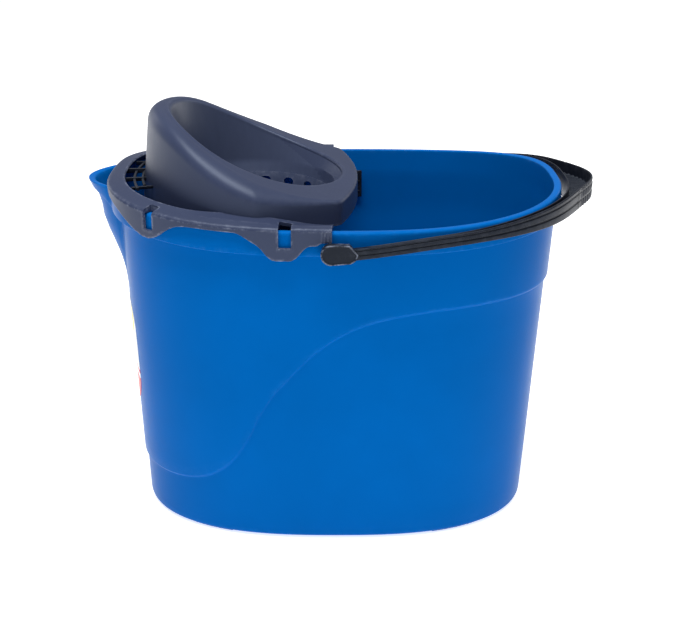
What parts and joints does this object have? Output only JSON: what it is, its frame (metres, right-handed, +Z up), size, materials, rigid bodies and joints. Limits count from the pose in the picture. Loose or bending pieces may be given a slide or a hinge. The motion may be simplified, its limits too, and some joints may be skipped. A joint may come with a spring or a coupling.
{
  "type": "mop bucket with wringer",
  "caption": "Oval plastic mop bucket with a pouring spout, a swinging carrying handle and a lift-off wringer cup on a scalloped collar.",
  "frame": {"origin": "middle of the overall length and width, on the plane the foot arcs stand on", "axes": "+X along the length towards the handle's grip, so -X is the pouring spout; -Y is the picture's near side; +Z up"},
  "size_m": [0.4347, 0.2928, 0.3541],
  "materials": {
    "blue_plastic": "glossy moulded polypropylene",
    "charcoal_plastic": "satin moulded polypropylene",
    "black_plastic": "satin moulded polypropylene",
    "label": "satin printed film"
  },
  "bodies": {
    "bucket": {"bucket_shell": "blue_plastic", "foot_arc_spout_end": "blue_plastic", "foot_arc_handle_end": "blue_plastic", "pivot_pin_front": "blue_plastic", "pivot_pin_back": "blue_plastic", "label_sticker": "label"},
    "handle": {"handle_boss_front": "black_plastic", "handle_boss_back": "black_plastic", "handle_arm_front": "black_plastic", "handle_arm_back": "black_plastic", "handle_grip": "black_plastic"},
    "wringer": {"wringer_collar": "charcoal_plastic", "wringer_cup": "charcoal_plastic", "wringer_throat": "charcoal_plastic", "drain_basket": "charcoal_plastic", "drain_floor": "charcoal_plastic", "spout_grille": "charcoal_plastic", "clip_front": "charcoal_plastic", "clip_back": "charcoal_plastic"}
  },
  "joints": [
    {"name": "handle_swing", "type": "hinge", "parent": "bucket", "child": "handle", "pos_m": [-0.0065, 0, 0.267], "axis": [0, -1, 0], "range_deg": [0, 160]},
    {"name": "wringer_lift", "type": "slide", "parent": "bucket", "child": "wringer", "axis": [0, 0, 1], "range_m": [0, 0.35]}
  ]
}
